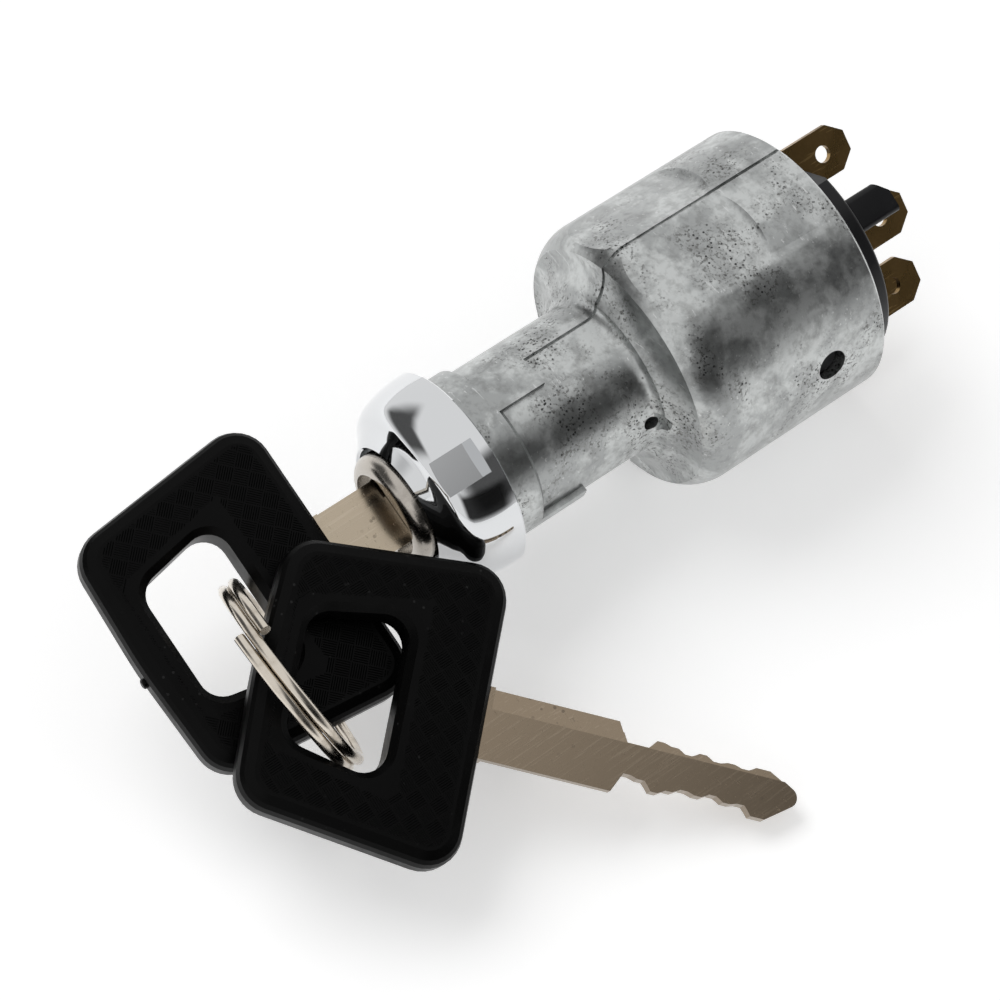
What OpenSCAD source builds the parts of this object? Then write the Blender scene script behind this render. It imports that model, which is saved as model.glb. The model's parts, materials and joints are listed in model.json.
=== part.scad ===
// Ignition switch with its key in the lock, a split ring and a spare key.
// Frame: origin where the lock axis meets the panel seat, +Y along the axis from key to tabs, +Z up.
// Angles round the axis are counted from +X towards +Z.

/* [Housing] */
// Diameter of the neck that holds the lock
neck_d = 20.7; // [20:0.1:21.4]
// Diameter of the cup that holds the contacts
cup_d = 36.6; // [35:0.2:40]
// Distance from the panel seat to the rear rim
cup_rear = 52.6; // [51.6:0.2:56]
// Wall thickness of the cup
cup_wall = 2.2; // [1.9:0.1:2.5]
// Distance from the panel seat to the end of the neck
neck_len = 21.2; // [20.4:0.1:21.6]
// Distance from the panel seat to the floor of the cup
cup_floor = 25.6; // [25.4:0.1:26]
// Fillet between the neck and the shoulder
root_fillet = 1.6; // [1:0.1:2]
// Radius of the rounded front corner of the cup
shoulder_r = 5.8; // [4.5:0.1:6.4]
// Depth of the groove pressed into the shoulder
shoulder_dip = 0.55; // [0.2:0.05:0.8]
// Chamfer on the rear rim
rim_chamfer = 0.4; // [0.2:0.1:0.8]
// Diameter of the threaded spigot inside the bezel
spigot_d = 19; // [18.4:0.1:19.4]
// Length of the threaded spigot
spigot_len = 6.7; // [6.3:0.1:6.8]
// Diameter of the collar behind the bezel
collar_d = 22.2; // [21.8:0.1:22.2]
// Distance from the panel seat to the rear of the collar
collar_len = 4.9; // [4:0.1:6.5]
// Gap between the bezel and the collar
seat_gap = 0.25; // [0.2:0.05:0.6]
// Chamfer on the rear of the collar
collar_chamfer = 0.6; // [0.3:0.1:1]
// Distance from the panel seat to the rear of the anti-rotation lugs
lug_len = 11.2; // [9:0.1:14]
// Angle that each lug covers
lug_angle = 31; // [20:1:40]
// Angle of the first lug
lug_at = 94; // [85:1:105]
// Angle of the mould parting line
parting_at = 102.6; // [95:0.2:115]
// Width of the parting groove
parting_w = 0.5; // [0.3:0.1:0.8]
// Depth of the parting groove
parting_deep = 0.3; // [0.2:0.05:0.4]
// Angle covered by each flat beside the parting line
flat_angle = 37; // [28:1:40]
// Distance from the rear rim to the end of the flats
flat_back = 9.2; // [8:0.2:12]
// Radius of the run-out at the end of the flats
flat_run_r = 2.7; // [1:0.1:4.5]
// Diameter of the side hole for the base snap
side_hole_d = 4.1; // [3.6:0.1:4.6]
// Distance from the rear rim to the side hole
side_hole_back = 8.8; // [8:0.1:10]
// Diameter of the release hole over the plug latch
release_hole_d = 2; // [1.8:0.1:2.2]
// Distance from the panel seat to the release hole
release_y = 21.6; // [21.4:0.1:22.2]
// Width of the flat spot round the release hole
release_flat_w = 3.3; // [2.8:0.1:4]

/* [Bezel] */
// Diameter of the bezel at its rear edge
bezel_d = 26.8; // [25.6:0.1:28.5]
// Diameter of the bezel at the end of its side
bezel_side_d = 24.8; // [23.6:0.1:25.4]
// Length of the side of the bezel
bezel_side_len = 5.85; // [5:0.05:6.4]
// Diameter of the ridge on the front of the bezel
bezel_ridge_d = 20.9; // [20:0.1:21.6]
// Distance from the rear edge to the ridge
bezel_ridge_len = 7.75; // [7.2:0.05:8.1]
// Bore of the front lip
bezel_lip_d = 16; // [15.6:0.1:16.6]
// Overall length of the bezel
bezel_len = 9.35; // [9:0.05:9.9]
// Bore of the rear of the bezel, over the collar
bezel_rear_bore = 22.6; // [22.6:0.1:23]
// Depth of the bore in the rear of the bezel
bezel_rear_deep = 0.8; // [0.5:0.1:1.5]
// Bulge of the side of the bezel
bezel_bulge = 0.5; // [0.2:0.05:0.8]
// Width of the spanner notches
notch_w = 4.7; // [3.6:0.1:5.4]
// Depth of the spanner notches below the side
notch_deep = 1; // [0.7:0.1:1.3]
// Distance from the rear edge to the notch floor's end
notch_back = 1.5; // [1:0.1:2.3]
// Angle of the first notch
notch_at = 62; // [0:1:180]

/* [Lock] */
// Diameter of the lock plug
plug_d = 13.4; // [13:0.1:13.8]
// Diameter of the nose of the plug
nose_d = 14.9; // [14.5:0.1:15.2]
// Distance from the panel seat to the front of the nose
nose_front = 11.2; // [10.8:0.1:12.2]
// Rounding on the front of the nose
nose_round = 1.7; // [0.8:0.1:1.8]
// Diameter of the recess in the face of the nose
face_recess_d = 11.2; // [10.4:0.1:11.6]
// Depth of the recess in the face of the nose
face_recess_deep = 1.1; // [0.6:0.1:1.6]
// Distance from the panel seat to the rear face of the plug
plug_rear = 25; // [24.6:0.1:25.2]
// Running clearance of the plug in its bore
run_clear = 0.05; // [0.02:0.01:0.08]
// Thickness of a wafer
wafer_t = 1.2; // [1:0.1:1.3]
// Width of a wafer
wafer_w = 5.2; // [4.8:0.1:5.4]
// Distance between wafers
wafer_pitch = 3.2; // [3:0.05:3.3]
// Distance from the panel seat to the first wafer
wafer_first = 0.7; // [0.4:0.1:1]
// Clearance of the wafers in their slots
wafer_clear = 0.06; // [0.04:0.01:0.1]
// Depth of the grooves that the wafers lock into
wafer_groove_deep = 1; // [0.6:0.1:1.3]
// Reach of the lug that each wafer spring pushes
wafer_lug = 1.4; // [1.2:0.1:1.6]
// Length of a wafer spring
wafer_spring_len = 3.6; // [3:0.1:3.8]
// Depth of the latch pocket in the plug
latch_deep = 5.6; // [5.2:0.1:5.8]
// Length of the latch spring
latch_spring_len = 2.6; // [2.2:0.1:2.8]
// Width of the tang that turns the rotor
tang_w = 6; // [5:0.1:7]
// Thickness of the tang that turns the rotor
tang_t = 3; // [2.4:0.1:3.6]
// Diameter of the plug latch
latch_d = 1.8; // [1.5:0.1:1.9]
// Turn of the key at which the latch lies under the release hole
latch_turn = 45; // [30:1:60]

/* [Contacts] */
// Clearance of the rotor in the skirt of the base
rotor_clear = 0.4; // [0.3:0.05:0.6]
// Distance from the panel seat to the front of the rotor disc
rotor_front = 30.6; // [30.4:0.1:31.4]
// Thickness of the rotor disc
rotor_t = 7.2; // [6.6:0.1:7.6]
// Diameter of the hub of the rotor
hub_d = 14.4; // [13.6:0.1:15]
// Thickness of the wall round the contact bridge
rotor_wall = 1.6; // [1.2:0.1:2]
// Radius of the contact domes on the bridge
dome_r = 1.5; // [1.2:0.1:1.8]
// Height of the contact domes on the bridge
dome_rise = 1.1; // [0.8:0.1:1.3]
// Free gap between the domes and the fixed contacts
contact_gap = 0.25; // [0.2:0.05:0.4]
// Diameter of the fixed contacts
pad_d = 4.6; // [4:0.1:5]
// Thickness of the fixed contacts
pad_t = 1.5; // [1.2:0.1:1.8]
// Radius of the hole in the contact bridge
bridge_in_r = 4.5; // [4:0.1:5]
// Diameter of the pin that the rotor turns on
pivot_d = 4.4; // [3.8:0.1:5]
// Length of the pin inside the rotor
pivot_deep = 2.8; // [2:0.1:3.2]
// Angle of the detent ball
detent_at = -75; // [-85:1:-60]
// Diameter of the detent ball
ball_d = 3.6; // [3:0.1:4]
// Diameter of the pocket of a contact spring
pocket_d = 4.6; // [4.2:0.1:5]
// Depth of the pocket of a contact spring
pocket_deep = 3.6; // [3:0.1:4]
// Wire of the return spring
coil_wire = 1.1; // [0.9:0.1:1.3]
// Turns of the return spring
coil_turns = 3; // [2:1:3]
// Diameter of the pegs that hold the return spring
peg_d = 1.8; // [1.4:0.1:2.2]
// Thickness of the skirt of the base
skirt_t = 1.5; // [1.2:0.1:1.6]
// Thickness of the contact bridge
bridge_t = 1; // [0.8:0.1:1.2]
// Distance from the panel seat to the inner face of the base
base_inner = 46.2; // [45.8:0.1:47]
// Clearance of the base in the cup
base_clear = 0.2; // [0.1:0.05:0.3]
// Height of the base behind the rear rim
base_proud = 3; // [2:0.1:3.6]
// Distance from the side of the base to its raised back
plateau_inset = 0.2; // [0.1:0.1:1]
// Rounding of the edge of the raised back
plateau_round = 0.5; // [0.3:0.1:1.2]
// Distance from the axis to the cut-away side of the raised back
plateau_cut = 12.2; // [11.4:0.1:13]
// Width of the post on the base
post_w = 4.6; // [4:0.1:5.6]
// Thickness of the post on the base
post_t = 2.2; // [1.8:0.1:2.4]
// Length of the post behind the base
post_len = 6.9; // [5.5:0.1:8]
// Length of the sloped corner of the post
post_slope_len = 1.5; // [0.8:0.1:2]
// Width of the sloped corner of the post
post_slope_w = 1.8; // [1:0.1:2.2]
// Rounding of the corners of the post
post_round = 0.7; // [0.3:0.1:1]
// Angle of the post
post_at = 62; // [50:1:75]
// Distance from the side of the base to the middle of the post
post_inset = 3.6; // [3.2:0.1:4.4]
// Width of a contact tab
tab_w = 6.3; // [4.8:0.1:6.3]
// Thickness of a contact tab
tab_t = 0.8; // [0.5:0.1:1]
// Distance from the rear rim to the tip of a tab
tab_proud = 13; // [11.5:0.1:14]
// Distance from the side of the base to the circle of tabs
tab_inset = 5.7; // [5.4:0.1:6.2]
// Distance of the second tab inside that circle
second_tab_inset = 1.2; // [0:0.1:1.4]
// Angle of the first tab
tab_at = 122; // [116:1:124]
// Angle that the faces of the tabs look to
tab_face_at = 45; // [40:1:52]
// Diameter of the hole in a tab
tab_hole_d = 2.2; // [1.6:0.1:2.4]
// Distance from the tip of a tab to its hole
tab_hole_back = 4; // [3.4:0.1:4.6]
// Slope length of the corners of the tip
tab_tip_len = 2.1; // [1:0.1:3]
// Slope width of the corners of the tip
tab_tip_w = 1.8; // [1:0.1:2.2]

/* [Keys] */
// Angle by which the key is rolled from flat about the lock axis
key_roll = 22; // [10:1:34]
// Distance from the panel seat to the head of the key
head_front = 19.1; // [18.8:0.1:19.4]
// Width of the head at the blade
head_wide = 38.2; // [36:0.2:39]
// Width of the head at its far edge
head_far = 32.1; // [30:0.1:33]
// Length of the head
head_len = 27.2; // [26:0.1:28]
// Thickness of the head
head_t = 5.6; // [5:0.1:5.7]
// Corner radius of the head
head_corner = 4.5; // [3.5:0.1:5.5]
// Width of the bevelled border of the head
head_edge = 1.8; // [1:0.1:2]
// Depth of the bevelled border of the head
head_bevel = 0.6; // [0.3:0.1:1]
// Bulge of the far edge of the head
head_bulge = 0.7; // [0.2:0.1:1.2]
// Width across the key of the hole at its blade side
eye_wide = 20.4; // [19.6:0.2:21]
// Width across the key of the hole at its far side
eye_far = 15.6; // [15:0.2:17]
// Length along the key of the hole
eye_len = 12.2; // [11.8:0.1:12.8]
// Distance from the far edge of the head to the hole
eye_back = 4.3; // [4:0.1:4.8]
// Corner radius of the hole
eye_corner = 3; // [2:0.1:4]
// Rounding of the edges of the hole
eye_edge = 0.9; // [0.5:0.1:1.2]
// Thickness of the blade
blade_t = 2.2; // [1.9:0.1:2.3]
// Length of the blade outside the head
blade_len = 39; // [38:0.1:39.3]
// Width of the blade at its shoulder
shoulder_w = 8.8; // [8.2:0.1:9]
// Length of the shoulder of the blade
shoulder_len = 17.5; // [17.2:0.1:17.8]
// Width of the blade before its cuts
cut_w = 6.6; // [6.2:0.1:6.7]
// Length of the tapered tip of the blade
tip_len = 3.6; // [3:0.1:4.4]
// Radius of the nose of the blade
tip_r = 1.3; // [0.8:0.1:1.6]
// Clearance of the blade in its slot
blade_clear = 0.15; // [0.1:0.01:0.2]
// Depth of one step of the cuts
cut_step = 0.27; // [0.2:0.01:0.32]
// Depth of the ledge milled along the blade
ledge_deep = 0.45; // [0.3:0.05:0.5]
// Width of the ledge milled along the blade
ledge_w = 1.35; // [1:0.05:1.5]
// Lean of the floor of the ledges
ledge_lean = 8; // [4:1:10]
// Length of blade set into the head
blade_root = 8; // [6:0.5:9]
// Width of blade set into the head
root_w = 7.2; // [6:0.2:8]

/* [Ring] */
// Mean diameter of the split ring
ring_d = 25.2; // [24.6:0.1:26]
// Diameter of the wire of the split ring
ring_wire = 1.4; // [1.1:0.1:1.5]
// Gap between the turns of the split ring
ring_gap = 0.04; // [0.02:0.01:0.1]
// Angle by which the ends of the wire lap
ring_lap = 6; // [2:1:12]

/* [Hidden] */
$fn = 72;
eps = 0.01;
// Parts that slide or turn past each other without touching
part_gap = 0.3;
// Press clearance between still parts
still_gap = 0.1;

cup_r = cup_d / 2;
neck_r = neck_d / 2;
cavity_r = cup_r - cup_wall;
base_r = cavity_r - base_clear;
rotor_d = 2 * (base_r - skirt_t - rotor_clear);
plateau_r = base_r - plateau_inset;
tab_circle_r = base_r - tab_inset;
post_r = base_r - post_inset;
bore_r = plug_d / 2 + run_clear;
draw_at = parting_at - 90;
key_at = -key_roll;
nose_back = spigot_len + part_gap;
blade_tip = blade_len - head_front;
slot_w = cut_w + 2 * blade_clear + 0.1;
slot_t = blade_t + 2 * blade_clear;
slot_end = blade_tip + part_gap;
wide_slot_end = shoulder_len - head_front + part_gap;
latch_at = draw_at + latch_turn;
latch_groove_r = bore_r + 1.1;
spring_side = wafer_w / 2 + wafer_lug / 2;
wafer_count = 6;
latch_seat = plug_d / 2 - latch_deep;
latch_inner = latch_seat + latch_spring_len;
latch_outer = latch_groove_r - part_gap;

tang_end = rotor_front + 1;
rotor_back = rotor_front + rotor_t;
bridge_back = base_inner - pad_t - contact_gap - dome_rise;
bridge_front = bridge_back - bridge_t;
pivot_r = pivot_d / 2;
detent_y = rotor_front + rotor_t / 2;
ball_r = ball_d / 2;
ball_out = cavity_r - part_gap / 2 - ball_r;
ball_seat = hub_d / 2 + 1;
coil_r = (hub_d + coil_wire) / 2 + 0.6;
peg_r = peg_d / 2;
peg_at = coil_r + coil_wire + peg_r;
// Key positions: off, on and start
positions = [0, 45, 90];
// The bridge reaches the tabs when the key is turned on
bridge_turn = positions[1];
bridge_tabs = [0, 1, 2];

skirt_front = bridge_front - 2;
// Angles of the tabs round the axis
tab_places = [tab_at, tab_at - 71, tab_at - 138, tab_at - 172];

// Pose of the spare key as it lies across the first
spare_at = [27.6, -17.7, -4.8];
spare_turn = [14.6, 16.7, 46];
// Centre of the split ring and two directions in its plane
ring_at = [9.96, -32.43, -2.31];
ring_x = [0.945, 0.0347, -0.3251];
ring_y = [0.3198, -0.3172, 0.8934];
ring_ends_at = 114;

function polar(r, t) = [r * cos(t), r * sin(t)];
function arc(c, r, from, to, n = 10) = [for (i = [0 : n]) c + polar(r, from + (to - from) * i / n)];
function unit(v) = v / norm(v);
// Points of a corner of radius r at b on the way from a to c
function corner(a, b, c, r, n = 8) =
    let (u = unit(a - b), w = unit(c - b))
    let (half = acos(u * w) / 2, m = b + unit(u + w) * r / sin(half))
    let (turn = cross(u, w) > 0 ? 1 : -1)
    let (sweep = 180 - 2 * half)
    let (start = b + u * r / tan(half) - m)
    let (first = atan2(start[1], start[0]))
    [for (i = [0 : n]) m + polar(r, first - turn * sweep * i / n)];
function round_outline(p, r) =
    [for (i = [0 : len(p) - 1]) each corner(p[(i + len(p) - 1) % len(p)], p[i], p[(i + 1) % len(p)], r)];

// Ring of points round one point of a path
function tube_ring(p, along, ref, r, sides) =
    let (side = unit(cross(along, ref)), out = cross(side, along))
    [for (k = [0 : sides - 1]) p + r * (cos(360 * k / sides) * side + sin(360 * k / sides) * out)];
function path_dir(path, i) = unit(path[min(i + 1, len(path) - 1)] - path[max(i - 1, 0)]);

module tube(path, r, ref, sides = 8) {
    count = len(path);
    points = [for (i = [0 : count - 1]) each tube_ring(path[i], path_dir(path, i), ref, r, sides)];
    walls = [
        for (i = [0 : count - 2]) for (k = [0 : sides - 1])
            let (a = i * sides + k, b = i * sides + (k + 1) % sides)
                [a, b, b + sides, a + sides]
    ];
    ends = [[for (k = [sides - 1 : -1 : 0]) k], [for (k = [0 : sides - 1]) (count - 1) * sides + k]];
    polyhedron(points, concat(walls, ends), convexity = 8);
}

// A coil about Z from z = 0 to z = len, with closed ends left plain
module coil(r, wire, len, turns, step = 30) {
    count = ceil(turns * 360 / step);
    rise = len - wire;
    path = [for (i = [0 : count]) [
        r * cos(360 * turns * i / count),
        r * sin(360 * turns * i / count),
        wire / 2 + rise * i / count
    ]];
    tube(path, wire / 2, [0, 0, 1], 6);
}

// The lock axis as local Z
module on_axis() {
    rotate([-90, 0, 0]) children();
}

// Local X turned to an angle round the axis
module at_angle(t) {
    rotate([0, 0, -t]) children();
}

// Local Z along the radius at an angle and a place on the axis
module radial(t, y) {
    at_angle(t) translate([0, 0, y]) rotate([0, 90, 0]) children();
}

// Local X along the blade, Y across it, Z off its face, with the head's front at the origin
module key_place() {
    rotate([0, key_roll, 0]) translate([0, -head_front, 0]) rotate([0, 0, 90]) children();
}

module spare_place() {
    translate(spare_at) rotate(spare_turn) children();
}

// Points of a shallow curve from a to b that bulges to the left by rise
function bow(a, b, rise, n = 6) =
    let (d = unit(b - a), left = [-d[1], d[0]])
    [for (i = [1 : n - 1]) let (f = i / n) a + (b - a) * f + left * rise * 4 * f * (1 - f)];

// Section of the shoulder, from the neck to the side of the cup
function shoulder_section() =
    let (root_r = neck_r + root_fillet, face = neck_len + root_fillet)
    let (c = [cup_r - shoulder_r, face + shoulder_r])
    let (ridge = c + polar(shoulder_r, -45))
    concat(
        arc([root_r, neck_len], root_fillet, 180, 90, 6),
        bow([root_r, face], ridge, shoulder_dip),
        arc(c, shoulder_r, -45, 0, 10)
    );

// Outer section of the casting, as radius and distance along the axis
function housing_section() =
    concat(
        [[0, -spigot_len], [spigot_d / 2, -spigot_len], [spigot_d / 2, seat_gap], [collar_d / 2, seat_gap]],
        [[collar_d / 2, collar_len - collar_chamfer], [neck_r, collar_len]],
        shoulder_section(),
        [[cup_r, cup_rear - rim_chamfer], [cup_r - rim_chamfer, cup_rear], [0, cup_rear]]
    );

// A short piece of the parting groove from a to b, both as radius and distance
module groove(a, b) {
    middle = (a + b) / 2;
    run = norm(b - a) + parting_deep;
    translate([middle[0], 0, middle[1]]) rotate([0, -atan2(b[1] - a[1], b[0] - a[0]), 0])
        cube([run, parting_w, 2 * parting_deep], center = true);
}

module housing_flat(side) {
    turn = parting_at + side * flat_angle / 2;
    floor_r = cup_r * cos(flat_angle / 2);
    flat_end = cup_rear - flat_back;
    at_angle(turn) {
        translate([floor_r, -cup_r, neck_len])
            cube([cup_wall * 2, cup_d, flat_end - neck_len - flat_run_r]);
        translate([floor_r + flat_run_r, 0, flat_end - flat_run_r])
            rotate([90, 0, 0]) cylinder(r = flat_run_r, h = cup_d, center = true);
    }
}

module housing() {
    shoulder = shoulder_section();
    color("#8f8f8b") on_axis() difference() {
        union() {
            rotate_extrude() polygon(housing_section());
            for (i = [0 : 2]) at_angle(lug_at + 120 * i)
                rotate([0, 0, -lug_angle / 2]) rotate_extrude(angle = lug_angle)
                    translate([neck_r - 1, seat_gap])
                        square([collar_d / 2 - neck_r + 1, lug_len - seat_gap]);
        }
        // Lock bore and the grooves that the wafers and the latch use
        translate([0, 0, -spigot_len - 1]) cylinder(r = bore_r, h = spigot_len + 1 + cup_floor + eps);
        for (half = [0, 180]) at_angle(key_at + half)
            translate([0, -wafer_w / 2 - part_gap, -spigot_len - 1])
                cube([bore_r + wafer_groove_deep, wafer_w + 2 * part_gap, spigot_len + 1 + slot_end]);
        translate([0, 0, release_y - latch_d / 2 - part_gap])
            cylinder(r = latch_groove_r, h = latch_d + 2 * part_gap);
        // Cup cavity with the stop peg of the return spring left standing
        difference() {
            translate([0, 0, cup_floor]) cylinder(r = cavity_r, h = cup_rear - cup_floor + 1);
            translate([peg_at, 0, cup_floor - 1]) cylinder(r = peg_r, h = 1 + 1.5 * coil_wire);
            translate([0, 0, cup_floor - eps]) rotate_extrude()
                polygon([[cavity_r - 2, 0], [cavity_r + 1, 0], [cavity_r + 1, 3]]);
        }
        for (p = positions) at_angle(detent_at - p)
            translate([cavity_r - ball_r / 2, 0, detent_y - ball_d])
                cylinder(r = 0.8 * ball_r, h = 2 * ball_d);
        // Snap hole and release hole, drawn with the mould
        radial(draw_at, cup_rear - side_hole_back) cylinder(d = side_hole_d, h = cup_d);
        radial(draw_at, release_y) cylinder(d = release_hole_d, h = cup_d);
        at_angle(draw_at) translate([neck_r + 0.2, -release_flat_w / 2, release_y - release_flat_w / 2])
            cube([cup_r, release_flat_w, release_flat_w / 2]);
        radial(draw_at, release_y) translate([0, 0, neck_r + 0.2]) cylinder(d = release_flat_w, h = cup_r);
        // Flats and parting grooves
        for (side = [-1, 1]) housing_flat(side);
        for (half = [0, 180]) at_angle(parting_at + half) {
            translate([cup_r - parting_deep, -parting_w / 2, neck_len + root_fillet + shoulder_r])
                cube([cup_r, parting_w, cup_rear - neck_len]);
            translate([neck_r - parting_deep, -parting_w / 2, lug_len])
                cube([parting_deep + 1, parting_w, neck_len - lug_len]);
            for (i = [0 : len(shoulder) - 2]) groove(shoulder[i], shoulder[i + 1]);
        }
    }
}

module bezel_nut() {
    thread_r = spigot_d / 2 + still_gap;
    rear = bezel_rear_bore / 2;
    side = [bezel_side_d / 2, -bezel_side_len];
    ridge = [bezel_ridge_d / 2, -bezel_ridge_len];
    color("#d8dadc") on_axis() difference() {
        rotate_extrude() polygon(concat(
            [[thread_r, -bezel_rear_deep], [rear, -bezel_rear_deep], [rear, 0]],
            [[bezel_d / 2 - 0.2, 0], [bezel_d / 2, -0.2], [bezel_d / 2, -0.6]],
            bow([bezel_d / 2, -0.6], side, bezel_bulge / 2),
            [side],
            bow(side, ridge, bezel_bulge / 2),
            [ridge, [bezel_lip_d / 2 + 0.3, -bezel_len], [bezel_lip_d / 2, 0.3 - bezel_len]],
            [[bezel_lip_d / 2, -spigot_len - still_gap], [thread_r, -spigot_len - still_gap]]
        ));
        // The notches stop short of the rear edge
        for (half = [0, 180]) at_angle(notch_at + half)
            translate([bezel_side_d / 2 - notch_deep, -notch_w / 2, -bezel_ridge_len])
                cube([bezel_d, notch_w, bezel_ridge_len - notch_back]);
    }
}

module wafer_slot(i) {
    at_angle(key_at + 180 * (i % 2)) translate([0, 0, wafer_first + wafer_pitch * i]) {
        cube([plug_d + 2, wafer_w + 2 * wafer_clear, wafer_t + 2 * wafer_clear], center = true);
        translate([-1.4, wafer_w / 2 - 0.2, -wafer_t / 2 - wafer_clear])
            cube([3, wafer_lug + 0.4, wafer_t + 2 * wafer_clear]);
        translate([-1.2, spring_side, 0]) rotate([0, -90, 0])
            cylinder(d = wafer_t + wafer_clear, h = wafer_spring_len);
    }
}

module lock_plug() {
    color("#a39d92") on_axis() difference() {
        union() {
            rotate_extrude() polygon(concat(
                [[0, -nose_front], [nose_d / 2 - nose_round, -nose_front]],
                arc([nose_d / 2 - nose_round, -nose_front + nose_round], nose_round, -90, 0, 6),
                [[nose_d / 2, -nose_back], [plug_d / 2, -nose_back]],
                [[plug_d / 2, plug_rear], [0, plug_rear]]
            ));
            at_angle(key_at) translate([-tang_w / 2, -tang_t / 2, plug_rear - eps])
                cube([tang_w, tang_t, tang_end - plug_rear]);
        }
        translate([0, 0, -nose_front - 1]) cylinder(d = face_recess_d, h = face_recess_deep + 1);
        at_angle(key_at) {
            translate([-shoulder_w / 2 - blade_clear, -slot_t / 2, -nose_front - 1])
                cube([shoulder_w + 2 * blade_clear, slot_t, nose_front + 1 + wide_slot_end]);
            translate([-slot_w / 2, -slot_t / 2, -nose_front - 1])
                cube([slot_w, slot_t, nose_front + 1 + slot_end]);
        }
        for (i = [0 : wafer_count - 1]) wafer_slot(i);
        radial(latch_at, release_y) translate([0, 0, latch_seat])
            cylinder(d = latch_d + 2 * run_clear, h = plug_d);
    }
}

module wafer(i) {
    color("#b8a15e") on_axis() at_angle(key_at + 180 * (i % 2))
        translate([0, 0, wafer_first + wafer_pitch * i - wafer_t / 2]) difference() {
            union() {
                intersection() {
                    cylinder(r = plug_d / 2 - 0.2, h = wafer_t);
                    translate([-plug_d / 2, -wafer_w / 2, 0]) cube([plug_d, wafer_w, wafer_t]);
                }
                translate([-1.1, wafer_w / 2 - 0.2, 0]) cube([1.1, wafer_lug, wafer_t]);
            }
            translate([-slot_w / 2 - 0.5, -slot_t / 2 - 0.1, -1])
                cube([slot_w + 1, slot_t + 0.2, wafer_t + 2]);
        }
}

module wafer_springs() {
    color("#c8c8c8") on_axis() for (i = [0 : wafer_count - 1])
        at_angle(key_at + 180 * (i % 2)) translate([-1.15, spring_side, wafer_first + wafer_pitch * i])
            rotate([0, -90, 0]) coil(wafer_t / 2 - 0.2, 0.25, wafer_spring_len, 4, 60);
}

module plug_latch() {
    color("#b5904a") on_axis() radial(latch_at, release_y) translate([0, 0, latch_inner])
        cylinder(d = latch_d, h = latch_outer - latch_inner);
}

module latch_spring() {
    color("#c8c8c8") on_axis() radial(latch_at, release_y) translate([0, 0, latch_seat + eps])
        coil(latch_d / 2 - 0.3, 0.25, latch_spring_len - 2 * eps, 4, 45);
}

// One place for each dome of the bridge, from a tab back by the turn to the on position
module bridge_places() {
    for (i = bridge_tabs) at_angle(tab_places[i] + bridge_turn) translate([tab_circle_r, 0, 0]) children();
}

module rotor() {
    color("#d9d3c0") on_axis() difference() {
        union() {
            translate([0, 0, rotor_front]) cylinder(d = rotor_d, h = bridge_back - 0.6 - rotor_front);
            translate([0, 0, cup_floor + part_gap]) cylinder(d = hub_d, h = rotor_front - cup_floor);
            at_angle(180) translate([peg_at, 0, rotor_front - 1.5 * coil_wire])
                cylinder(r = peg_r, h = 1.5 * coil_wire + 1);
        }
        at_angle(key_at) translate([-tang_w / 2 - still_gap, -tang_t / 2 - still_gap, 0])
            cube([tang_w + 2 * still_gap, tang_t + 2 * still_gap, tang_end + still_gap]);
        translate([0, 0, rotor_back]) cylinder(r = rotor_d / 2 - rotor_wall, h = rotor_d);
        translate([0, 0, rotor_back - pivot_deep]) cylinder(r = pivot_r + run_clear, h = pivot_deep + 1);
        bridge_places() translate([0, 0, rotor_back - pocket_deep]) cylinder(d = pocket_d, h = rotor_d);
        radial(detent_at, detent_y) translate([0, 0, ball_seat])
            cylinder(r = ball_r + run_clear, h = rotor_d);
    }
}

module contact_bridge() {
    color("#b87c4a") on_axis() {
        translate([0, 0, bridge_front]) difference() {
            cylinder(r = rotor_d / 2 - rotor_wall - still_gap, h = bridge_t);
            translate([0, 0, -1]) cylinder(r = bridge_in_r, h = bridge_t + 2);
        }
        bridge_places() translate([0, 0, bridge_back - eps]) rotate_extrude()
            polygon([[0, 0], [dome_r, 0], [dome_r * 0.6, dome_rise], [0, dome_rise]]);
    }
}

module contact_springs() {
    color("#c8c8c8") on_axis() bridge_places() translate([0, 0, rotor_back - pocket_deep + eps])
        coil(pocket_d / 2 - 0.5, 0.5, bridge_front - rotor_back + pocket_deep - 2 * eps, 4, 45);
}

module detent_ball() {
    color("#cfd2d4") on_axis() radial(detent_at, detent_y) translate([0, 0, ball_out]) sphere(r = ball_r);
}

module detent_spring() {
    color("#c8c8c8") on_axis() radial(detent_at, detent_y) translate([0, 0, ball_seat + eps])
        coil(ball_r - 0.6, 0.4, ball_out - ball_r - ball_seat, 4, 45);
}

module return_spring() {
    low = cup_floor + coil_wire / 2 + still_gap;
    high = rotor_front - coil_wire / 2 - still_gap;
    count = coil_turns * 15;
    // Each end turns out beside its own peg
    beside = asin((peg_r + coil_wire / 2 + still_gap) / peg_at);
    turn = function (i) beside + (coil_turns * 360 - 180 - 2 * beside) * i / count;
    lead = peg_at + peg_r;
    path = concat(
        [[lead * cos(turn(0)), lead * sin(turn(0)), low]],
        [for (i = [0 : count]) [
            coil_r * cos(turn(i)), coil_r * sin(turn(i)), low + (high - low) * i / count
        ]],
        [[lead * cos(turn(count)), lead * sin(turn(count)), high]]
    );
    color("#9a9a96") on_axis() tube(path, coil_wire / 2, [0, 0, 1], 8);
}

module tab_place(i) {
    t = tab_places[i];
    r = tab_circle_r - (i == 1 ? second_tab_inset : 0);
    translate([r * cos(t), -r * sin(t), 0]) rotate([0, 0, -tab_face_at]) children();
}

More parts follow.
